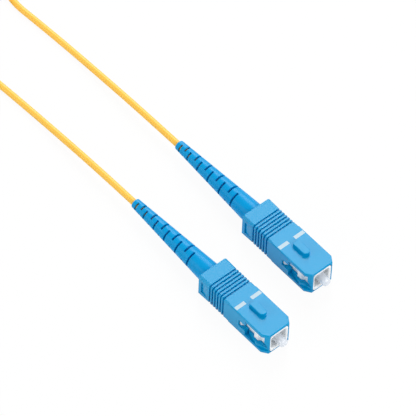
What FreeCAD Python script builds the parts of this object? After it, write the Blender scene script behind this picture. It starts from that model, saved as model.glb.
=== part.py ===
import FreeCAD, Part
import math
import os

# A simplex fibre optic patch cable: one yellow jacketed cable with a push-pull
# connector on each end. Both connectors lie side by side, mating faces towards +X.
# Millimetres, +X mating direction, +Y to the left of it, +Z up, floor at z = 0.
# Each connector is built in its own frame: x = 0 on the rear face of the grip,
# y = z = 0 on the ferrule axis. The origin is the middle of the two connectors' footprint.

# Placing of the pair
pair_pitch = 20.8          # sideways distance between the ferrule axes
pair_stagger = 7.2         # connector b lies this far ahead of connector a

# Grip: the outer housing that is pushed and pulled
grip_length = 25.4
body_width = 9.0
body_height = 7.4
body_edge = 0.25           # moulded edge radius
nose_cut_length = 1.75     # slanted front corners
nose_cut_width = 1.2
collar_length = 3.93
collar_width = 9.1         # at the rear face
collar_height = 7.6
collar_bevel = 0.55
rib_count = 5
rib_width = 0.48
groove_width = 0.53
groove_depth = 0.4
rib_bevel = 0.45
runout_length = 1.9        # the ribs' bevel runs on into the body this far
runout_radius = 0.5
pocket_start = 0.95        # shallow finger pocket on each side of the collar
pocket_length = 2.25
pocket_height = 4.1
pocket_depth = 0.35        # at its rear end; it runs out to nothing at its front end
pocket_front_depth = 0.02
rear_opening_width = 7.0   # opening in the rear face that the boot stands in
rear_opening_corner = 2.2
key_start = 15.15          # polarity key on top
key_length = 4.8
key_width = 2.1
key_height = 1.1
key_edge = 0.15

# Side windows in the grip, where the adapter's latch arms reach the plug frame
window_start = 17.6
window_end = 24.35
window_height = 5.4
slot_start = 15.2
slot_height = 2.2
cam_height = 1.1           # unlatching cam along the window's lower edge
cam_end = 25.0
cam_peak_x = 21.8
cam_peak_depth = 0.08      # peak of the cam below the grip's side
cam_rear_depth = 1.3
cam_front_depth = 1.15
post_notch_depth = 1.22    # the front post's foot is cut back this far below the grip's side
post_notch_rear = 3.7      # height of that notch at the window, above the window's lower edge
post_notch_front = 0.5     # and at the nose

# Plug frame
frame_width = 5.8
frame_height = 6.3
frame_corner = 0.9
bore_corner = 0.45         # corner of the grip's bore, sharper than the frame's
lug_root = 0.3             # how deep a lug's root stands in the frame's wall
frame_rear = 7.0
frame_flange_length = 1.6
frame_flange_width = 6.7
frame_rear_height = 5.7    # under the ribs the frame is lower
cavity_width = 4.8
cavity_height = 4.7
cavity_corner = 0.7
cavity_lead = 0.25
web_front = 19.0
web_thickness = 1.0
chamber_diameter = 4.5
frame_bore = 4.8
latch_lug_start = 20.2
latch_lug_flat = 1.4
latch_lug_ramp = 0.7
latch_lug_height = 3.1
latch_lug_rise = 0.7
stay_lug_length = 1.25     # lugs that stop the grip at its forward end
stay_lug_height = 2.0
stay_lug_rise = 1.1
stay_lug_flat = 0.4
stay_lug_toe = 0.3

# Ferrule and its holder
ferrule_diameter = 2.499
ferrule_length = 10.5
ferrule_overhang = 2.4     # past the front face of the plug frame
ferrule_tip_length = 0.7
ferrule_tip_face = 1.0
ferrule_tip_bulge = 0.15   # roundness of the tip, off the straight bevel
ferrule_groove_start = 17.9    # glue groove inside the holder's hub
ferrule_groove_length = 1.0
ferrule_groove_depth = 0.2
holder_disc_diameter = 4.3
holder_disc_length = 1.75
holder_notch = 0.7
holder_hub_diameter = 3.3
holder_reserve = 0.63      # left behind the holder's tube when the ferrule is pushed in
holder_bore = 1.0

# Ferrule spring
spring_wire = 0.36
spring_mean_diameter = 3.3
spring_turns = 6
spring_steps = 16          # flats in one turn
spring_sides = 6           # sides of the wire's section

# Stop ring, which closes the plug frame and carries the crimp
ring_flange_start = 4.6
ring_flange_diameter = 5.4
ring_flat_width = 4.7
ring_seat_x = 9.6
ring_front = 14.4
ring_cavity = 4.0
ring_lug_x = 10.7
ring_lug_length = 0.8
ring_lug_width = 2.2
ring_lug_rise = 0.35
barrel_start = -2.5
barrel_diameter = 3.5
barrel_bore = 1.6
barrel_plain = 0.6         # ungrooved length next to the flange
barrel_groove_count = 4
barrel_groove = 0.1
barrel_groove_bevel = 0.25

# Crimp sleeve
sleeve_start = -5.5
sleeve_end = 4.3
sleeve_wall = 0.35
sleeve_neck_diameter = 2.9
sleeve_neck_length = 1.9
sleeve_cone = 0.5

# Boot
boot_tail = 29.9           # how far the boot reaches behind the grip
boot_nose = 1.2            # how far it reaches into the grip
boot_large = 6.2
boot_small = 2.75
boot_edge = 0.35
boot_tail_edge = 0.12
boot_straight = 0.2        # the taper ends this far behind the grip
boot_flare = 0.15          # the bore widens by this at the thin end, where the cable bends
boot_flare_length = 9.0
boot_slot_width = 0.6
boot_slot_angle = 127.0
boot_slot_roll = -26.5     # the slots' pattern is turned about the axis
# distances of the slot rings from the boot's thin end
boot_slots = [1.5, 3.25, 4.95, 7.25, 9.15, 11.45, 13.5, 15.95, 18.2, 20.85, 23.1]

# Cable and what runs inside it
cable_diameter = 1.8
jacket_end = -3.4
jacket_bore = 1.1
buffer_diameter = 0.9
buffer_tail = 2.6          # buffer inside the jacket, behind the jacket's end
buffer_reserve = 1.4       # hollow left behind the buffer when the ferrule is pushed in
fibre_diameter = 0.125
tube_diameter = 1.5
tube_bore = 1.1
tube_setback = 0.2         # the guide tube ends this far inside the ring's seat
yarn_thickness = 0.1
yarn_setback = 0.3         # the yarn ends this far inside the sleeve
yarn_spread = 0.45         # length over which the yarn opens from the jacket

# Travel
grip_travel = 2.0
ferrule_travel = 1.0

# Coil of the cable's spare length, lying flat
coil_centre = (-115.0, -11.4)   # in connector a's frame
coil_mean_radius = 10.8
coil_bundle_width = 7.1
coil_bundle_height = 7.4
coil_bevel = 0.7
coil_climb = 5.55          # leg b's end rises this far, to the top layer of turns

# Modelling allowances: how far fused pieces reach into each other, and cuts past a face
overlap = 0.1
beyond = 1.0
arc_share = 0.45           # a route's arc takes this share of the shorter run
along_axis = 0.9           # an edge with a larger X direction than this runs along X

# Clearances
slide_gap = 0.08           # plug frame in the grip
end_gap = 0.05             # between faces that stop against each other
run_gap = 0.1              # holder in its chamber
guide_gap = 0.06           # spring round the holder's tube
seat_gap = 0.02            # pieces seated on each other
glue_gap = 0.001           # fibre in the ferrule
boot_gap = 0.05            # boot over the sleeve
opening_gap = 0.2          # boot in the grip's rear opening

# Sizes that follow
axis_height = collar_height / 2
rib_pitch = rib_width + groove_width
ribs_end = collar_length + rib_count * rib_pitch + groove_width
cable_radius = cable_diameter / 2
ferrule_tip = grip_length + ferrule_overhang
web_rear = web_front - web_thickness
disc_front = web_rear - seat_gap
disc_rear = disc_front - holder_disc_length
holder_rear = ring_seat_x + ferrule_travel + holder_reserve
ferrule_rear = ferrule_tip - ferrule_length
bore_width = frame_width + 2 * slide_gap
bore_height = frame_height + 2 * slide_gap
rear_bore_width = frame_flange_width + 4 * slide_gap
rear_bore_height = frame_rear_height + 4 * slide_gap
rear_bore_end = frame_rear + frame_flange_length + grip_travel + end_gap
holder_tube_diameter = spring_mean_diameter - spring_wire - 2 * guide_gap
opening_height = boot_large + 2 * opening_gap
opening_end = boot_nose + grip_travel + 2 * opening_gap
jacket_bore_length = buffer_tail + ferrule_travel + buffer_reserve
a_x = (boot_tail - pair_stagger - ferrule_tip) / 2
place_a = (a_x, pair_pitch / 2, axis_height)
place_b = (a_x + pair_stagger, -pair_pitch / 2, axis_height)


def vec(x, y, z):
    return FreeCAD.Vector(x, y, z)


def box(x0, x1, y0, y1, z0, z1):
    return Part.makeBox(x1 - x0, y1 - y0, z1 - z0, vec(x0, y0, z0))


def disc(x0, x1, diameter):
    return Part.makeCylinder(diameter / 2, x1 - x0, vec(x0, 0, 0), vec(1, 0, 0))


def bar(x0, x1, width, height, corner):
    # a bar along X with rounded long edges
    solid = box(x0, x1, -width / 2, width / 2, -height / 2, height / 2)
    long_edges = [e for e in solid.Edges if abs(e.tangentAt(e.FirstParameter).x) > along_axis]
    return solid.makeFillet(corner, long_edges)


def plan(points, z0, z1):
    # a closed outline seen from above, raised from z0 to z1
    wire = Part.makePolygon([vec(x, y, z0) for x, y in points] + [vec(points[0][0], points[0][1], z0)])
    return Part.Face(wire).extrude(vec(0, 0, z1 - z0))


def turned(points):
    # a closed half section (x, radius) turned about the ferrule axis
    wire = Part.makePolygon([vec(x, 0, r) for x, r in points] + [vec(points[0][0], 0, points[0][1])])
    return Part.Face(wire).revolve(vec(0, 0, 0), vec(1, 0, 0), 360)


def bevelled_section(x, width, height, bevel):
    w = width / 2
    h = height / 2
    b = bevel
    corners = [(w, -h + b), (w, h - b), (w - b, h), (-w + b, h),
               (-w, h - b), (-w, -h + b), (-w + b, -h), (w - b, -h)]
    return Part.makePolygon([vec(x, y, z) for y, z in corners] + [vec(x, w, -h + b)])


def bevelled_bar(x0, x1, width, height, bevel):
    return Part.Face(bevelled_section(x0, width, height, bevel)).extrude(vec(x1 - x0, 0, 0))


def both_sides(solid):
    # the solid and its mirror image across the connector's middle plane
    return [solid, solid.mirror(vec(0, 0, 0), vec(0, 1, 0))]


def above_and_below(solid):
    return [solid, solid.mirror(vec(0, 0, 0), vec(0, 0, 1))]


def four_ways(solid):
    return [twin for side in both_sides(solid) for twin in above_and_below(side)]


# Grip

def grip_body():
    w = body_width / 2
    nose = grip_length - nose_cut_length
    outline = [(ribs_end, -w), (nose, -w), (grip_length, -w + nose_cut_width),
               (grip_length, w - nose_cut_width), (nose, w), (ribs_end, w)]
    solid = plan(outline, -body_height / 2, body_height / 2)
    rim = []
    for edge in solid.Edges:
        centre = edge.CenterOfMass
        if abs(abs(centre.z) - body_height / 2) < seat_gap and centre.x > ribs_end + seat_gap:
            rim.append(edge)
    return solid.makeFillet(body_edge, rim)


def grip_ribs():
    core_width = body_width - 2 * groove_depth
    core_height = body_height - 2 * groove_depth
    core = bevelled_bar(collar_length - overlap, ribs_end + overlap, core_width, core_height, rib_bevel)
    ribs = [core]
    for index in range(rib_count):
        start = collar_length + groove_width + index * rib_pitch
        ribs.append(bevelled_bar(start, start + rib_width, body_width, body_height, rib_bevel))
    return ribs


def grip_collar():
    rear = bevelled_section(0, collar_width, collar_height, collar_bevel)
    front = bevelled_section(collar_length, body_width, body_height, collar_bevel)
    return Part.makeLoft([rear, front], True, True)


def collar_pocket():
    end = pocket_start + pocket_length
    share = pocket_start / collar_length
    rear_y = (collar_width * (1 - share) + body_width * share) / 2
    front_y = body_width / 2
    outside = rear_y + beyond
    outline = [(pocket_start, rear_y - pocket_depth), (end, front_y - pocket_front_depth),
               (end, outside), (pocket_start, outside)]
    return plan(outline, -pocket_height / 2, pocket_height / 2)


def bevel_runout():
    # the ribs' bevel carried on into the body, with a rounded end
    angle = math.radians(45)
    offset = (body_width / 2 - rib_bevel / 2, body_height / 2 - rib_bevel / 2)
    outward = vec(0, math.sin(angle), math.cos(angle))
    centre = vec(ribs_end + runout_length - runout_radius, offset[0], offset[1])
    end = Part.makeCylinder(runout_radius, 2 * beyond, centre, outward)
    length = runout_length - runout_radius
    straight = Part.makeBox(length + overlap, 2 * runout_radius, 2 * beyond, vec(0, -runout_radius, 0))
    straight.rotate(vec(0, 0, 0), vec(1, 0, 0), -45)
    straight.translate(vec(ribs_end - overlap, offset[0], offset[1]))
    return straight.fuse(end)


def polarity_key():
    base = body_height / 2 - overlap
    top = body_height / 2 + key_height
    radius = key_width / 2
    front = key_start + key_length
    block = box(key_start, front - radius, -radius, radius, base, top)
    nose = Part.makeCylinder(radius, top - base, vec(front - radius, 0, base), vec(0, 0, 1))
    solid = block.fuse(nose).removeSplitter()
    rim = [e for e in solid.Edges if abs(e.BoundBox.ZMin - top) < seat_gap]
    return solid.makeFillet(key_edge, rim)


def side_window():
    reach = body_width / 2 + beyond
    inner = bore_width / 2 - overlap
    large = box(window_start, window_end, inner, reach, -window_height / 2, window_height / 2)
    narrow = box(slot_start, window_start + overlap, inner, reach, -slot_height / 2, slot_height / 2)
    return large.fuse(narrow)


def unlatching_cam():
    # wedge along the window's lower edge: it rises outwards to a peak, then falls towards the nose
    side = body_width / 2
    inner = bore_width / 2
    rear = window_start - overlap
    outline = [(rear, inner), (rear, side - cam_rear_depth), (cam_peak_x, side - cam_peak_depth),
               (cam_end, side - cam_front_depth), (cam_end, inner)]
    sill = -window_height / 2
    return plan(outline, sill - overlap, sill + cam_height)


def post_notch():
    # the front post's foot is cut back, down to the window's lower edge
    sill = -window_height / 2
    inner = body_width / 2 - post_notch_depth
    rear = window_end - overlap
    front = grip_length + overlap
    outline = [vec(rear, inner, sill), vec(rear, inner, sill + post_notch_rear),
               vec(front, inner, sill + post_notch_front), vec(front, inner, sill), vec(rear, inner, sill)]
    return Part.Face(Part.makePolygon(outline)).extrude(vec(0, body_width, 0))


def grip_housing():
    shell = grip_body().fuse(grip_ribs() + [grip_collar()])
    tools = four_ways(bevel_runout()) + both_sides(collar_pocket()) + both_sides(side_window())
    tools += both_sides(post_notch())
    tools.append(bar(-beyond, opening_end, rear_opening_width, opening_height, rear_opening_corner))
    tools.append(bar(opening_end - overlap, rear_bore_end, rear_bore_width, rear_bore_height, bore_corner))
    tools.append(bar(rear_bore_end - overlap, grip_length + beyond, bore_width, bore_height, bore_corner))
    shell = shell.cut(tools)
    return shell.fuse([polarity_key()] + both_sides(unlatching_cam())).removeSplitter()


# Plug frame

def latch_lug():
    # shoulder at its rear for the adapter's latch, ramp at its front
    side = frame_width / 2
    flat_end = latch_lug_start + latch_lug_flat
    outline = [(latch_lug_start, side - lug_root), (latch_lug_start, side + latch_lug_rise),
               (flat_end, side + latch_lug_rise), (flat_end + latch_lug_ramp, side),
               (flat_end + latch_lug_ramp, side - lug_root)]
    return plan(outline, -latch_lug_height / 2, latch_lug_height / 2)


def stay_lug():
    side = frame_width / 2
    start = slot_start + end_gap
    end = start + stay_lug_length
    outline = [(start, side - lug_root), (start, side + stay_lug_rise),
               (start + stay_lug_flat, side + stay_lug_rise),
               (end, side + stay_lug_toe), (end, side - lug_root)]
    return plan(outline, -stay_lug_height / 2, stay_lug_height / 2)


def plug_frame():
    flange_end = frame_rear + frame_flange_length
    tall_start = rear_bore_end + run_gap
    shell = bar(tall_start, grip_length, frame_width, frame_height, frame_corner)
    rear = bar(frame_rear, tall_start + overlap, frame_width, frame_rear_height, frame_corner)
    flange = bar(frame_rear, flange_end, frame_flange_width, frame_rear_height, frame_corner)
    shell = shell.fuse([rear, flange] + both_sides(latch_lug()) + both_sides(stay_lug()))
    cavity = bar(web_front, grip_length + beyond, cavity_width, cavity_height, cavity_corner)
    mouth_rear = bevelled_section(grip_length - cavity_lead, cavity_width, cavity_height, cavity_corner)
    mouth_front = bevelled_section(grip_length, cavity_width + 2 * cavity_lead,
                                   cavity_height + 2 * cavity_lead, cavity_corner)
    mouth = Part.makeLoft([mouth_rear, mouth_front], True, True)
    snap_window = box(ring_lug_x - end_gap, ring_lug_x + ring_lug_length + end_gap,
                      -ring_lug_width / 2 - end_gap, ring_lug_width / 2 + end_gap,
                      frame_bore / 2 - lug_root, frame_height)
    tools = [cavity, mouth, disc(frame_rear - beyond, ring_front + seat_gap, frame_bore)]
    tools.append(disc(ring_front, web_rear, chamber_diameter))
    tools.append(disc(web_rear - overlap, web_front + overlap, holder_hub_diameter + 2 * run_gap))
    tools += above_and_below(snap_window)
    return shell.cut(tools).removeSplitter()


# Ferrule, holder and spring

def ferrule():
    radius = ferrule_diameter / 2
    hole = fibre_diameter / 2 + glue_gap
    shoulder = ferrule_tip - ferrule_tip_length
    start = vec(shoulder, 0, radius)
    end = vec(ferrule_tip, 0, ferrule_tip_face / 2)
    chord = end - start
    outward = vec(-chord.z, 0, chord.x).normalize()
    middle = start + chord * 0.5 + outward * ferrule_tip_bulge
    edges = [
        Part.LineSegment(vec(ferrule_rear, 0, hole), vec(ferrule_rear, 0, radius)).toShape(),
        Part.LineSegment(vec(ferrule_rear, 0, radius), start).toShape(),
        Part.Arc(start, middle, end).toShape(),
        Part.LineSegment(end, vec(ferrule_tip, 0, hole)).toShape(),
        Part.LineSegment(vec(ferrule_tip, 0, hole), vec(ferrule_rear, 0, hole)).toShape(),
    ]
    solid = Part.Face(Part.Wire(edges)).revolve(vec(0, 0, 0), vec(1, 0, 0), 360)
    groove_end = ferrule_groove_start + ferrule_groove_length
    groove = disc(ferrule_groove_start, groove_end, ferrule_diameter + 2 * overlap)
    return solid.cut(groove.cut(disc(ferrule_groove_start - beyond, groove_end + beyond,
                                     ferrule_diameter - 2 * ferrule_groove_depth)))


def ferrule_holder():
    body = disc(holder_rear, disc_rear + overlap, holder_tube_diameter)
    flange = disc(disc_rear, disc_front, holder_disc_diameter)
    hub = disc(disc_front - overlap, web_front - seat_gap, holder_hub_diameter)
    seat = disc(ferrule_rear, web_front + beyond, ferrule_diameter + 2 * seat_gap)
    bore = disc(holder_rear - beyond, ferrule_rear + overlap, holder_bore)
    notches = []
    for turn in (0, 90):
        notch = box(disc_rear - beyond, disc_front + beyond, -holder_disc_diameter, holder_disc_diameter,
                    -holder_notch / 2, holder_notch / 2)
        rest = holder_disc_diameter - holder_notch
        notch = notch.cut(disc(disc_rear - 2 * beyond, disc_front + 2 * beyond, rest))
        notch.rotate(vec(0, 0, 0), vec(1, 0, 0), turn + 45)
        notches.append(notch)
    return body.fuse([flange.cut(notches), hub]).cut([seat, bore]).removeSplitter()


def ferrule_spring():
    # the wire's section carried round the axis in even steps, advancing by the pitch
    start = ring_seat_x + seat_gap + spring_wire / 2
    end = disc_rear - seat_gap - spring_wire / 2
    steps = spring_turns * spring_steps
    sections = []
    for step in range(steps + 1):
        around = 2 * math.pi * step / spring_steps
        x = start + (end - start) * step / steps
        corners = []
        for side in range(spring_sides + 1):
            angle = 2 * math.pi * side / spring_sides
            radius = (spring_mean_diameter + spring_wire * math.cos(angle)) / 2
            along = x + math.sin(angle) * spring_wire / 2
            corners.append(vec(along, radius * math.cos(around), radius * math.sin(around)))
        sections.append(Part.makePolygon(corners))
    return Part.makeLoft(sections, True, True)


# Stop ring, crimp sleeve, yarn and guide tube

def stop_ring():
    barrel = barrel_diameter / 2
    neck = barrel - barrel_groove
    outline = [(barrel_start, barrel_bore / 2)]
    step = (ring_flange_start - barrel_plain - barrel_start) / barrel_groove_count
    for index in range(barrel_groove_count):
        x = barrel_start + index * step
        foot = x + step / 2 + barrel_groove_bevel
        outline += [(x, barrel), (x + step / 2, barrel), (foot, neck), (x + step, neck)]
    flange = ring_flange_diameter / 2
    flange_end = frame_rear - seat_gap
    nose = frame_bore / 2 - seat_gap
    outline += [(ring_flange_start, barrel), (ring_flange_start, flange)]
    outline += [(flange_end, flange), (flange_end, nose)]
    outline += [(ring_front, nose), (ring_front, ring_cavity / 2), (ring_seat_x, ring_cavity / 2)]
    outline += [(ring_seat_x, barrel_bore / 2)]
    solid = turned(outline)
    lug_top = frame_bore / 2 + ring_lug_rise
    lug_base = frame_bore / 2 - lug_root
    lug_side = ring_lug_width / 2
    lug = box(ring_lug_x, ring_lug_x + ring_lug_length, -lug_side, lug_side, lug_base, lug_top)
    flat = box(ring_flange_start - overlap, flange_end, ring_flat_width / 2, ring_flange_diameter,
               -ring_flange_diameter, ring_flange_diameter)
    return solid.cut(both_sides(flat)).fuse(above_and_below(lug)).removeSplitter()


def sleeve_inner():
    return barrel_diameter / 2 + yarn_thickness + 2 * seat_gap


def crimp_sleeve():
    inner = sleeve_inner()
    outer = inner + sleeve_wall
    neck_bore = cable_radius + seat_gap / 2
    neck_end = sleeve_start + sleeve_neck_length
    return turned([
        (sleeve_start, neck_bore), (sleeve_start, sleeve_neck_diameter / 2),
        (neck_end, sleeve_neck_diameter / 2), (neck_end + sleeve_cone, outer),
        (sleeve_end, outer), (sleeve_end, inner),
        (jacket_end + sleeve_cone, inner), (jacket_end, neck_bore),
    ])


def aramid_yarn():
    # the yarn leaves the jacket, spreads over the barrel and is gripped by the sleeve
    inner = barrel_diameter / 2 + seat_gap
    outer = inner + yarn_thickness
    core = jacket_bore / 2 + seat_gap
    end = sleeve_end - yarn_setback
    rise = barrel_start - end_gap
    return turned([
        (jacket_end + seat_gap, core), (jacket_end + seat_gap, cable_radius - seat_gap),
        (jacket_end + sleeve_cone + seat_gap, outer), (end, outer), (end, inner),
        (rise, inner), (rise - yarn_spread, core),
    ])


def guide_tube():
    start = barrel_start
    end = ring_seat_x - tube_setback
    return disc(start, end, tube_diameter).cut(disc(start - beyond, end + beyond, tube_bore))


def tight_buffer():
    return disc(jacket_end - buffer_tail, ferrule_rear - seat_gap, buffer_diameter)


def bare_fibre():
    return disc(ferrule_rear - seat_gap / 2, ferrule_tip, fibre_diameter)


# Boot

def boot_slot(distance, turn):
    # two opposite slots, cut through to the cable
    centre = -boot_tail + distance
    tools = []
    for start in (0, 180):
        tool = Part.makeCylinder(boot_large, boot_slot_width, vec(0, 0, 0), vec(0, 0, 1), boot_slot_angle)
        tool.rotate(vec(0, 0, 0), vec(0, 0, 1), start + turn - boot_slot_angle / 2)
        tool.rotate(vec(0, 0, 0), vec(0, 1, 0), 90)
        tool.translate(vec(centre - boot_slot_width / 2, 0, 0))
        tools.append(tool)
    return tools


def boot():
    sleeve_outer = sleeve_inner() + sleeve_wall
    wide = sleeve_outer + boot_gap
    neck = sleeve_neck_diameter / 2 + boot_gap
    tight = cable_radius + boot_gap
    neck_end = sleeve_start + sleeve_neck_length
    large = boot_large / 2
    small = boot_small / 2
    solid = turned([
        (-boot_tail + boot_flare_length, tight), (-boot_tail, tight + boot_flare),
        (-boot_tail, small - boot_tail_edge), (-boot_tail + boot_tail_edge, small),
        (-boot_straight, large), (boot_nose - boot_edge, large), (boot_nose, large - boot_edge),
        (boot_nose, wide),
        (neck_end + sleeve_cone - boot_gap, wide), (neck_end - boot_gap, neck),
        (sleeve_start - boot_gap, neck), (sleeve_start - boot_gap, tight),
    ])
    tools = []
    for index, distance in enumerate(boot_slots):
        quarter = 90 if index % 2 == 0 else 0
        tools += boot_slot(distance, quarter + boot_slot_roll)
    return solid.cut(tools)


# Cable: hand-chosen routes in each connector's own frame, z measured from the floor

leg_a_route = [
    (jacket_end, 0, axis_height), (-36, 0, axis_height), (-69, 0.6, cable_radius),
    (-86, -0.3, cable_radius), (-96.5, -1.1, cable_radius), (-105.5, 2.05, cable_radius),
    (-115.0, 2.05, cable_radius),
]
leg_b_route = [
    (jacket_end, 0, axis_height), (-36, 0, axis_height), (-69, 0.35, cable_radius),
    (-91, -1.0, cable_radius), (-112, -4.05, 5.6), (-122.2, -4.05, cable_radius + coil_climb),
]


def smooth_tube(points, name):
    # straight runs joined by tangent arcs as large as the runs allow
    pieces = []
    radii = []
    length = 0
    here = points[0]
    for index in range(1, len(points) - 1):
        before = points[index] - points[index - 1]
        after = points[index + 1] - points[index]
        turn = before.getAngle(after)
        tangent = arc_share * min(before.Length, after.Length)
        radius = tangent / math.tan(turn / 2)
        radii.append(round(radius, 1))
        unit_in = FreeCAD.Vector(before).normalize()
        unit_out = FreeCAD.Vector(after).normalize()
        start = points[index] - unit_in * tangent
        bisector = (unit_out - unit_in).normalize()
        centre = points[index] + bisector * (radius / math.cos(turn / 2))
        axis = unit_in.cross(unit_out).normalize()
        pieces.append(Part.makeCylinder(cable_radius, (start - here).Length, here, unit_in))
        disc_face = Part.Face(Part.Wire([Part.Circle(start, unit_in, cable_radius).toShape()]))
        pieces.append(disc_face.revolve(centre, axis, math.degrees(turn)))
        length += (start - here).Length + radius * turn
        here = points[index] + unit_out * tangent
    last = points[-1] - here
    pieces.append(Part.makeCylinder(cable_radius, last.Length, here, last))
    length += last.Length
    print(name, "arc radii", radii, "length", round(length, 1))
    return pieces[0].fuse(pieces[1:]), length


def cable_leg(route, place, name):
    points = [vec(x + place[0], y + place[1], z) for x, y, z in route]
    solid, length = smooth_tube(points, name)
    section = math.pi * cable_radius ** 2
    print(name, "volume", round(solid.Volume, 2), "section times length", round(section * length, 2))
    hollow = Part.makeCylinder(jacket_bore / 2, jacket_bore_length, points[0], vec(-1, 0, 0))
    return solid.cut(hollow)


def cable_coil():
    # the bundle's outer shape: flat underneath, bevelled on top
    inner = coil_mean_radius - coil_bundle_width / 2
    outer = coil_mean_radius + coil_bundle_width / 2
    top = coil_bundle_height
    shoulder = top - coil_bevel
    outline = [(inner, 0), (outer, 0), (outer, shoulder), (outer - coil_bevel, top),
               (inner + coil_bevel, top), (inner, shoulder), (inner, 0)]
    section = Part.Face(Part.makePolygon([vec(radius, 0, z) for radius, z in outline]))
    solid = section.revolve(vec(0, 0, 0), vec(0, 0, 1), 360)
    solid.translate(vec(coil_centre[0] + place_a[0], coil_centre[1] + place_a[1], 0))
    return solid


def save(shape, name, place=None):
    solid = shape.copy()
    if place:
        solid.translate(vec(place[0], place[1], place[2]))
    if not solid.isValid() or len(solid.Solids) < 1:
        raise ValueError(name + " is not a valid solid")
    if len(solid.Solids) == 1:
        solid = solid.Solids[0]
    solid.exportStep("parts/" + name + ".step")


def main():
    os.makedirs("parts", exist_ok=True)
    pieces = {
        "grip_housing": grip_housing(),
        "plug_frame": plug_frame(),
        "ferrule": ferrule(),
        "ferrule_holder": ferrule_holder(),
        "ferrule_spring": ferrule_spring(),
        "stop_ring": stop_ring(),
        "crimp_sleeve": crimp_sleeve(),
        "aramid_yarn": aramid_yarn(),
        "guide_tube": guide_tube(),
        "tight_buffer": tight_buffer(),
        "bare_fibre": bare_fibre(),
        "boot": boot(),
    }
    for side, place in (("a", place_a), ("b", place_b)):
        for name, shape in pieces.items():
            save(shape, name + "_" + side, place)
    save(cable_leg(leg_a_route, place_a, "cable_leg_a"), "cable_leg_a")
    save(cable_leg(leg_b_route, place_b, "cable_leg_b"), "cable_leg_b")
    save(cable_coil(), "cable_coil")


main()
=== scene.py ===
import math
import bmesh
import bpy
from mathutils import Matrix, Vector


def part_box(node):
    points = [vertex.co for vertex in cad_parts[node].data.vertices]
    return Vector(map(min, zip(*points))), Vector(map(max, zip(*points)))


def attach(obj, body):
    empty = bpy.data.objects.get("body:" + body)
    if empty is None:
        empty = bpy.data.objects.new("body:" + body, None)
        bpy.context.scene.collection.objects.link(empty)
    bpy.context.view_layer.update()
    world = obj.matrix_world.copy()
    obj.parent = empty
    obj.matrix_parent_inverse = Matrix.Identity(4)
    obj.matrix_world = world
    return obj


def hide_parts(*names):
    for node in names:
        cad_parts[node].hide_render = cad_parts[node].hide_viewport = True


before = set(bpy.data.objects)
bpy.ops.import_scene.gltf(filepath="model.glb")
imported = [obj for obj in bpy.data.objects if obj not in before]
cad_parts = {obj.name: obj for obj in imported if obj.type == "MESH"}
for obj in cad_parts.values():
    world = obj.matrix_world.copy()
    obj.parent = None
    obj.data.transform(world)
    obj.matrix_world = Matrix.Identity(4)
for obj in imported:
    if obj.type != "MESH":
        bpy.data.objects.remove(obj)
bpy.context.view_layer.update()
mm = 0.001
scene = bpy.context.scene


def at(x, y, z):
    return Vector((x * mm, y * mm, z * mm))


def middle(node):
    low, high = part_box(node)
    return (low + high) / 2


# Each connector's own zero: the grip's rear face, on the ferrule's axis
connectors = {}
for side in ("a", "b"):
    axis = middle("ferrule_" + side)
    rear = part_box("grip_housing_" + side)[0].x
    connectors[side] = Vector((rear, axis.y, axis.z))


# Camera, at the photograph's angle

cameraView = {
    "azimuth": -42.8,             # degrees, from +X
    "elevation": 52.6,
    "roll": 2.43,
    "distance": 1167.8,           # mm from the point it looks at
    "target": (-14.28, 4.7, 0.1),
    "lens": 395.9,                # mm
    "sensor": 36,                 # mm wide
}


def direction(azimuth, elevation):
    level = math.cos(elevation)
    return Vector((level * math.cos(azimuth), level * math.sin(azimuth), math.sin(elevation)))


def placeCamera(view):
    azimuth = math.radians(view["azimuth"])
    elevation = math.radians(view["elevation"])
    roll = math.radians(view["roll"])
    back = direction(azimuth, elevation)
    right = Vector((0, 0, 1)).cross(back).normalized()
    up = back.cross(right)
    turnedRight = math.cos(roll) * right + math.sin(roll) * up
    turnedUp = math.cos(roll) * up - math.sin(roll) * right
    place = at(*view["target"]) + back * view["distance"] * mm
    data = bpy.data.cameras.new("camera")
    data.sensor_width = view["sensor"]
    data.lens = view["lens"]
    camera = bpy.data.objects.new("camera", data)
    scene.collection.objects.link(camera)
    camera.matrix_world = Matrix((
        (turnedRight.x, turnedUp.x, back.x, place.x),
        (turnedRight.y, turnedUp.y, back.y, place.y),
        (turnedRight.z, turnedUp.z, back.z, place.z),
        (0, 0, 0, 1)))
    scene.camera = camera


placeCamera(cameraView)
print("camera placed")


# Finishes

def linear(hexColour):
    values = []
    for start in (1, 3, 5):
        value = int(hexColour[start:start + 2], 16) / 255
        values.append(value / 12.92 if value <= 0.04045 else ((value + 0.055) / 1.055) ** 2.4)
    return (*values, 1)


def addNode(material, kind, settings=None, links=None):
    # one node, with its settings by attribute or socket, and links as {socket: (node, output)}
    node = material.node_tree.nodes.new(kind)
    for name, value in (settings or {}).items():
        if name in node.inputs:
            node.inputs[name].default_value = value
        else:
            setattr(node, name, value)
    for name, (source, output) in (links or {}).items():
        material.node_tree.links.new(source.outputs[output], node.inputs[name])
    return node


def newFinish(name, settings):
    material = bpy.data.materials.new(name)
    material.use_nodes = True
    shader = material.node_tree.nodes["Principled BSDF"]
    for socket, value in settings.items():
        shader.inputs[socket].default_value = value
    return material, shader


def perMillimetre(size):
    # a texture's Scale for features of this many millimetres, on coordinates in metres
    return 1 / (size * mm)


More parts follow.
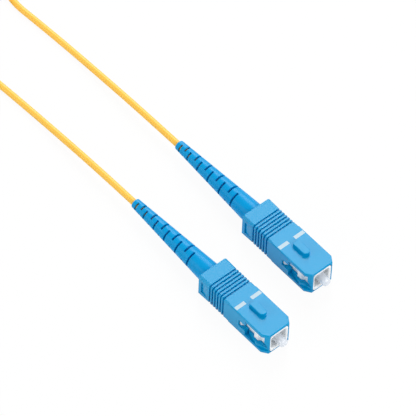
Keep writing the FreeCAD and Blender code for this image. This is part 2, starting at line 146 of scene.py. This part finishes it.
def speckle(material, shader, look):
    # fine grain as bump, a slow change of colour and of gloss
    links = material.node_tree.links
    place = addNode(material, "ShaderNodeTexCoord")
    grain = addNode(material, "ShaderNodeTexNoise",
                    {"Scale": perMillimetre(look["grainSize"]), "Detail": 3.0},
                    {"Vector": (place, "Object")})
    bump = addNode(material, "ShaderNodeBump",
                   {"Strength": look["grainStrength"], "Distance": look["grainDepth"] * mm},
                   {"Height": (grain, "Fac")})
    links.new(bump.outputs["Normal"], shader.inputs["Normal"])
    cloud = addNode(material, "ShaderNodeTexNoise",
                    {"Scale": perMillimetre(look["cloudSize"]), "Detail": 2.0},
                    {"Vector": (place, "Object")})
    tint = addNode(material, "ShaderNodeMix", {"data_type": "RGBA"}, {"Factor": (cloud, "Fac")})
    for socket in tint.inputs:
        if socket.type == "RGBA":
            socket.default_value = linear(look["colour"] if socket.name == "A" else look["second"])
    mixed = next(socket for socket in tint.outputs if socket.type == "RGBA")
    links.new(mixed, shader.inputs["Base Color"])
    least, most = look["roughness"]
    gloss = addNode(material, "ShaderNodeMapRange", {"To Min": least, "To Max": most},
                    {"Value": (cloud, "Fac")})
    links.new(gloss.outputs["Result"], shader.inputs["Roughness"])


# Each look drifts slowly between two colours. Its grain size, grain depth and cloud size are in mm.

# Blue PBT, injection moulded in a lightly spark-eroded tool: even colour, satin, soft highlights
gripLook = {
    "colour": "#0099CF", "second": "#009BD1",
    "grainSize": 0.16, "grainStrength": 0.06, "grainDepth": 0.01,
    "cloudSize": 9.0, "roughness": (0.2, 0.24),
}
# Blue thermoplastic elastomer, moulded: a rubbery satin without sharp highlights
bootLook = {
    "colour": "#0098D6", "second": "#009BD9",
    "grainSize": 0.2, "grainStrength": 0.1, "grainDepth": 0.01,
    "cloudSize": 6.0, "roughness": (0.28, 0.34),
}
# White PBT, moulded: bright and opaque, with a soft sheen
frameLook = {
    "colour": "#F6FAFC", "second": "#FAFCFD",
    "grainSize": 0.3, "grainStrength": 0.05, "grainDepth": 0.01,
    "cloudSize": 5.0, "roughness": (0.3, 0.38),
}
# Zirconia, ground round and polished: dense, slightly cool white with a tight highlight
ferruleLook = {
    "colour": "#DFE6F0", "second": "#E4EAF2",
    "grainSize": 0.3, "grainStrength": 0.04, "grainDepth": 0.004,
    "cloudSize": 4.0, "roughness": (0.16, 0.22),
}
# Low-smoke jacket, extruded: smooth satin yellow with broad, soft highlights
jacketLook = {
    "colour": "#FDC646", "second": "#FCC340",
    "grainSize": 0.5, "grainStrength": 0.02, "grainDepth": 0.01,
    "cloudSize": 12.0, "roughness": (0.42, 0.48),
}
# Nickel-plated brass, turned: a bright, slightly warm grey, satin from the plating
platedLook = {
    "colour": "#B9B7B0", "second": "#C4C2BC",
    "grainSize": 0.12, "grainStrength": 0.15, "grainDepth": 0.006,
    "cloudSize": 3.0, "roughness": (0.22, 0.32),
}
# Aluminium crimp sleeve, drawn and pressed: dull and pale
crimpLook = {
    "colour": "#C4C6C9", "second": "#CFD1D3",
    "grainSize": 0.15, "grainStrength": 0.25, "grainDepth": 0.01,
    "cloudSize": 3.0, "roughness": (0.32, 0.42),
}
# Stainless spring wire, drawn: dark and shiny
springLook = {
    "colour": "#9A9C9F", "second": "#A6A8AA",
    "grainSize": 0.1, "grainStrength": 0.1, "grainDepth": 0.004,
    "cloudSize": 2.0, "roughness": (0.2, 0.28),
}
# Aramid yarn: straw yellow, silky
yarnLook = {
    "colour": "#D9BE5C", "second": "#CDAE48",
    "grainSize": 0.08, "grainStrength": 0.5, "grainDepth": 0.02,
    "cloudSize": 0.8, "roughness": (0.5, 0.6),
}
# Fluoropolymer guide tube, extruded: milky and waxy
tubeLook = {
    "colour": "#E3E5E4", "second": "#EAECEB",
    "grainSize": 0.3, "grainStrength": 0.1, "grainDepth": 0.005,
    "cloudSize": 3.0, "roughness": (0.3, 0.36),
}
# Tight buffer: off-white soft PVC
bufferLook = {
    "colour": "#EBE6D8", "second": "#E6E0CF",
    "grainSize": 0.2, "grainStrength": 0.1, "grainDepth": 0.005,
    "cloudSize": 3.0, "roughness": (0.4, 0.48),
}
# Pad-printed white ink: thin, so a little of the blue shows through
inkLook = {
    "colour": "#B4CDD9", "second": "#BDD3DE",
    "grainSize": 0.15, "grainStrength": 0.3, "grainDepth": 0.01,
    "cloudSize": 0.6, "roughness": (0.5, 0.6),
}


lightDepth = 0.5 * mm    # how far light gets into a translucent plastic


def mouldedFinish(name, look, ior, translucency=0.0, sheen=0.5):
    material, shader = newFinish(name, {
        "IOR": ior, "Specular IOR Level": sheen,
        "Subsurface Weight": translucency, "Subsurface Scale": lightDepth})
    speckle(material, shader, look)
    return material


def metalFinish(name, look):
    material, shader = newFinish(name, {"Metallic": 1.0})
    speckle(material, shader, look)
    return material


def glassFinish():
    # drawn silica fibre, clear
    material, shader = newFinish("drawnSilica", {
        "IOR": 1.46, "Roughness": 0.02, "Transmission Weight": 1.0})
    shader.inputs["Base Color"].default_value = linear("#F2F7F8")
    return material


finishes = {
    "grip": mouldedFinish("mouldedBluePbt", gripLook, 1.5, sheen=0.13),
    "boot": mouldedFinish("mouldedBlueElastomer", bootLook, 1.5, sheen=0.1),
    "frame": mouldedFinish("mouldedWhitePbt", frameLook, 1.55),
    "ferrule": mouldedFinish("polishedZirconia", ferruleLook, 2.1, sheen=0.35),
    "jacket": mouldedFinish("extrudedYellowJacket", jacketLook, 1.5),
    "plated": metalFinish("nickelPlatedBrass", platedLook),
    "crimp": metalFinish("pressedAluminium", crimpLook),
    "spring": metalFinish("drawnSpringSteel", springLook),
    "yarn": mouldedFinish("aramidYarn", yarnLook, 1.5),
    "tube": mouldedFinish("extrudedFluoropolymer", tubeLook, 1.4, 0.2),
    "buffer": mouldedFinish("softBufferCoat", bufferLook, 1.5),
    "ink": mouldedFinish("padPrintedInk", inkLook, 1.5),
    "fibre": glassFinish(),
}
print("finishes made")

nodeFinish = {
    "grip_housing": "grip", "plug_frame": "frame", "ferrule": "ferrule", "ferrule_holder": "plated",
    "ferrule_spring": "spring", "stop_ring": "plated", "crimp_sleeve": "crimp", "aramid_yarn": "yarn",
    "guide_tube": "tube", "tight_buffer": "buffer", "bare_fibre": "fibre", "boot": "boot",
}
for name, finish in nodeFinish.items():
    for side in connectors:
        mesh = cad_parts[name + "_" + side].data
        mesh.materials.clear()
        mesh.materials.append(finishes[finish])


# Cable: one cord from connector a's crimp, round the coil, to connector b's crimp

cable = {
    "diameter": 1.8,
    "length": 1000.0,
    "bootTail": 29.9,        # where it leaves the boot, behind the grip's rear face
    "turnPitch": 1.85,       # from one turn to the next, and from one layer to the next
    "turns": 11.5,
    "layers": 4,             # wound inwards on one layer and outwards on the next
    "climb": 0.6,            # share of a turn in which it climbs to the next layer
    "enterAngle": 90.0,      # degrees round the coil's centre, from +X
    "pointsPerTurn": 16,
    "stepsPerPoint": 10,     # smoothness along it
    "roundSteps": 6,         # and round it
}
# each leg's route in its connector's own frame, with the height above the floor
legRoutes = {
    "a": [(-3.4, 0, 3.8), (-36, 0, 3.8), (-69, 0.6, 0.9), (-86, -0.3, 0.9), (-96.5, -1.1, 0.9),
          (-105.5, 2.05, 0.9)],
    "b": [(-3.4, 0, 3.8), (-36, 0, 3.8), (-69, 0.35, 0.9), (-91, -1.0, 0.9), (-112, -4.05, 5.6)],
}


def legPoints(side):
    zero = connectors[side]
    return [Vector((zero.x + x * mm, zero.y + y * mm, z * mm)) for x, y, z in legRoutes[side]]


def coilPoints():
    low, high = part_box("cable_coil")
    centre = (low + high) / 2
    radius = cable["diameter"] / 2
    outer = (high.x - low.x) / 2 / mm - radius
    steps = round(cable["turns"] * cable["pointsPerTurn"])
    layerTurns = cable["turns"] / cable["layers"]
    # the curve runs inside its control points, so they stand a little further out
    swell = 2 / (1 + math.cos(math.pi / cable["pointsPerTurn"]))
    points = []
    for step in range(steps + 1):
        turn = cable["turns"] * step / steps
        inward = layerTurns - abs(turn % (2 * layerTurns) - layerTurns)
        height = radius
        for layer in range(1, cable["layers"]):
            share = min(max((turn - layer * layerTurns) / cable["climb"] + 0.5, 0), 1)
            height += cable["turnPitch"] * share * share * (3 - 2 * share)
        reach = (outer - cable["turnPitch"] * inward) * swell
        angle = math.radians(cable["enterAngle"]) + 2 * math.pi * turn
        points.append(Vector((centre.x + reach * mm * math.cos(angle),
                              centre.y + reach * mm * math.sin(angle), height * mm)))
    return points


def layCable():
    data = bpy.data.curves.new("cable", "CURVE")
    data.dimensions = "3D"
    data.resolution_u = cable["stepsPerPoint"]
    data.bevel_depth = cable["diameter"] / 2 * mm
    data.bevel_resolution = cable["roundSteps"]
    data.use_fill_caps = True
    points = legPoints("a") + coilPoints() + legPoints("b")[::-1]
    spline = data.splines.new("NURBS")
    spline.points.add(len(points) - 1)
    for point, place in zip(spline.points, points):
        point.co = (*place, 1)
    spline.order_u = 3
    spline.use_endpoint_u = True
    data.materials.append(finishes["jacket"])
    piece = bpy.data.objects.new("cable", data)
    scene.collection.objects.link(piece)
    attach(piece, "lead")
    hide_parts("cable_leg_a", "cable_leg_b", "cable_coil")


layCable()
print("cable laid")


# Softened copies of the moulded pieces: the same shapes with their sharp edges broken

softEdges = {
    "grip_housing": 0.12,     # mm
    "plug_frame": 0.06,
    "boot": 0.06,
}
softening = {
    "weld": 0.0005,           # mm, corners closer than this are one
    "flat": 0.5,              # degrees, faces turned less than this are joined
    "sharp": 32,              # degrees, edges turned more than this are broken
    "segments": 2,
    "evenWeight": 100,        # how far the large faces keep their own shading
}


def softenedPiece(node, finish, body):
    sharp = math.radians(softening["sharp"])
    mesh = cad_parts[node].data.copy()
    mesh.name = node + "_soft"
    shape = bmesh.new()
    shape.from_mesh(mesh)
    bmesh.ops.remove_doubles(shape, verts=shape.verts, dist=softening["weld"] * mm)
    bmesh.ops.dissolve_limit(shape, angle_limit=math.radians(softening["flat"]),
                             verts=shape.verts, edges=shape.edges)
    shape.to_mesh(mesh)
    shape.free()
    mesh.materials.clear()
    mesh.materials.append(finish)
    rough = bpy.data.objects.new(node + "_rough", mesh)
    scene.collection.objects.link(rough)
    bevel = rough.modifiers.new("softEdge", "BEVEL")
    bevel.width = softEdges[node[:-2]] * mm
    bevel.segments = softening["segments"]
    bevel.limit_method = "ANGLE"
    bevel.angle_limit = sharp
    bevel.harden_normals = True
    weighted = rough.modifiers.new("evenFaces", "WEIGHTED_NORMAL")
    weighted.keep_sharp = True
    weighted.weight = softening["evenWeight"]
    for polygon in mesh.polygons:
        polygon.use_smooth = True
    mesh.set_sharp_from_angle(angle=sharp)
    graph = bpy.context.evaluated_depsgraph_get()
    finished = bpy.data.meshes.new_from_object(rough.evaluated_get(graph), depsgraph=graph)
    bpy.data.objects.remove(rough)
    piece = bpy.data.objects.new(node + "_shell", finished)
    scene.collection.objects.link(piece)
    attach(piece, body)
    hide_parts(node)


for side in connectors:
    softenedPiece("grip_housing_" + side, finishes["grip"], "grip_" + side)
    softenedPiece("plug_frame_" + side, finishes["frame"], "lead")
    softenedPiece("boot_" + side, finishes["boot"], "lead")
print("edges softened")


# White bars across the grip's top, which show how far it is pushed into its adapter

bars = {
    "middle": 13.54,      # mm ahead of the grip's rear face
    "length": 1.08,       # along the connector
    "width": 3.15,        # across it
    "pitch": 5.2,         # from one bar's middle to the other's
    "top": 3.7,           # the grip's top above the ferrule's axis
    "ink": 0.02,          # thickness
    "count": 2,
}


def barTree(finish):
    tree = bpy.data.node_groups.new("printedBars", "GeometryNodeTree")
    tree.interface.new_socket("Geometry", in_out="OUTPUT", socket_type="NodeSocketGeometry")
    kinds = {"Size": "NodeSocketVector", "First": "NodeSocketVector", "Step": "NodeSocketVector",
             "Count": "NodeSocketInt"}
    for name, kind in kinds.items():
        tree.interface.new_socket(name, in_out="INPUT", socket_type=kind)
    start = tree.nodes.new("NodeGroupInput")
    end = tree.nodes.new("NodeGroupOutput")
    row = tree.nodes.new("GeometryNodeMeshLine")
    block = tree.nodes.new("GeometryNodeMeshCube")
    place = tree.nodes.new("GeometryNodeInstanceOnPoints")
    real = tree.nodes.new("GeometryNodeRealizeInstances")
    paint = tree.nodes.new("GeometryNodeSetMaterial")
    paint.inputs["Material"].default_value = finish
    links = tree.links
    links.new(start.outputs["Count"], row.inputs["Count"])
    links.new(start.outputs["First"], row.inputs["Start Location"])
    links.new(start.outputs["Step"], row.inputs["Offset"])
    links.new(start.outputs["Size"], block.inputs["Size"])
    links.new(row.outputs["Mesh"], place.inputs["Points"])
    links.new(block.outputs["Mesh"], place.inputs["Instance"])
    links.new(place.outputs["Instances"], real.inputs["Geometry"])
    links.new(real.outputs["Geometry"], paint.inputs["Geometry"])
    links.new(paint.outputs["Geometry"], end.inputs["Geometry"])
    return tree


def grown(name, tree, values):
    # the tree's result as a plain mesh at the origin
    carrier = bpy.data.objects.new(name + "_carrier", bpy.data.meshes.new(name + "_carrier"))
    scene.collection.objects.link(carrier)
    modifier = carrier.modifiers.new("grow", "NODES")
    modifier.node_group = tree
    for item in tree.interface.items_tree:
        if item.in_out == "INPUT":
            modifier[item.identifier] = values[item.name]
    graph = bpy.context.evaluated_depsgraph_get()
    mesh = bpy.data.meshes.new_from_object(carrier.evaluated_get(graph), depsgraph=graph)
    bpy.data.objects.remove(carrier)
    piece = bpy.data.objects.new(name, mesh)
    scene.collection.objects.link(piece)
    return piece


printTree = barTree(finishes["ink"])
for side, zero in connectors.items():
    first = zero + at(bars["middle"], bars["pitch"] / 2, bars["top"])
    piece = grown("bars_" + side, printTree, {
        "Size": at(bars["length"], bars["width"], bars["ink"]),
        "First": first, "Step": at(0, -bars["pitch"], 0), "Count": bars["count"]})
    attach(piece, "grip_" + side)
print("bars printed")


# Floor, light and background

studio = {
    "floorSize": 4.0,             # metres
    "floorColour": "#F4F4F4",
    "paperWhite": 0.94,           # share of plain white that the camera and reflections see in the floor
    "worldStrength": 0.4,         # of the sky as a light
}
# softboxes, by direction from the object: azimuth from +X and elevation in degrees,
# distance, width and height in metres, power in watts
softboxes = {
    "key": {
        "azimuth": 135.0, "elevation": 40.0, "distance": 1.3,
        "width": 0.3, "height": 1.1, "power": 11.3,
    },
    "sideFill": {
        "azimuth": -112.0, "elevation": 22.0, "distance": 1.2,
        "width": 0.7, "height": 0.6, "power": 4.0,
    },
    "noseFill": {
        "azimuth": 8.0, "elevation": 38.0, "distance": 1.2,
        "width": 0.7, "height": 0.6, "power": 6.3,
    },
}
# the rays that see plain white paper and sky
shownWhite = ["Is Camera Ray", "Is Glossy Ray", "Is Transmission Ray"]


def lightPath(tree, outputs):
    # 1 for a ray of any of these kinds
    ray = tree.nodes.new("ShaderNodeLightPath")
    last = ray.outputs[outputs[0]]
    for output in outputs[1:]:
        either = tree.nodes.new("ShaderNodeMath")
        either.operation = "MAXIMUM"
        tree.links.new(last, either.inputs[0])
        tree.links.new(ray.outputs[output], either.inputs[1])
        last = either.outputs[0]
    return last


def layFloor():
    size = studio["floorSize"]
    mesh = bpy.data.meshes.new("floor")
    corners = [(-size, -size, 0), (size, -size, 0), (size, size, 0), (-size, size, 0)]
    mesh.from_pydata(corners, [], [(0, 1, 2, 3)])
    floor = bpy.data.objects.new("floor", mesh)
    scene.collection.objects.link(floor)
    material, shader = newFinish("paperFloor", {"Roughness": 0.9, "Specular IOR Level": 0.0})
    shader.inputs["Base Color"].default_value = linear(studio["floorColour"])
    tree = material.node_tree
    white = addNode(material, "ShaderNodeEmission", {"Strength": 1.0})
    share = addNode(material, "ShaderNodeMath", {"operation": "MULTIPLY"})
    tree.links.new(lightPath(tree, shownWhite), share.inputs[0])
    share.inputs[1].default_value = studio["paperWhite"]
    paper = addNode(material, "ShaderNodeMixShader",
                    links={"Fac": (share, "Value"), 1: (shader, "BSDF"), 2: (white, "Emission")})
    tree.links.new(paper.outputs["Shader"], tree.nodes["Material Output"].inputs["Surface"])
    mesh.materials.append(material)


def lightStudio():
    world = bpy.data.worlds.new("studio")
    scene.world = world
    world.use_nodes = True
    tree = world.node_tree
    background = tree.nodes["Background"]
    background.inputs["Color"].default_value = (1, 1, 1, 1)
    choose = tree.nodes.new("ShaderNodeMix")
    choose.data_type = "FLOAT"
    choose.inputs["A"].default_value = studio["worldStrength"]
    choose.inputs["B"].default_value = 1.0
    tree.links.new(lightPath(tree, shownWhite), choose.inputs["Factor"])
    tree.links.new(choose.outputs["Result"], background.inputs["Strength"])
    for name, box in softboxes.items():
        lamp = bpy.data.lights.new(name, "AREA")
        lamp.shape = "RECTANGLE"
        lamp.size = box["width"]
        lamp.size_y = box["height"]
        lamp.energy = box["power"]
        away = direction(math.radians(box["azimuth"]), math.radians(box["elevation"]))
        holder = bpy.data.objects.new(name, lamp)
        scene.collection.objects.link(holder)
        holder.location = away * box["distance"]
        holder.rotation_euler = away.to_track_quat("Z", "Y").to_euler()


layFloor()
lightStudio()
scene.view_settings.view_transform = "Standard"
print("studio lit")
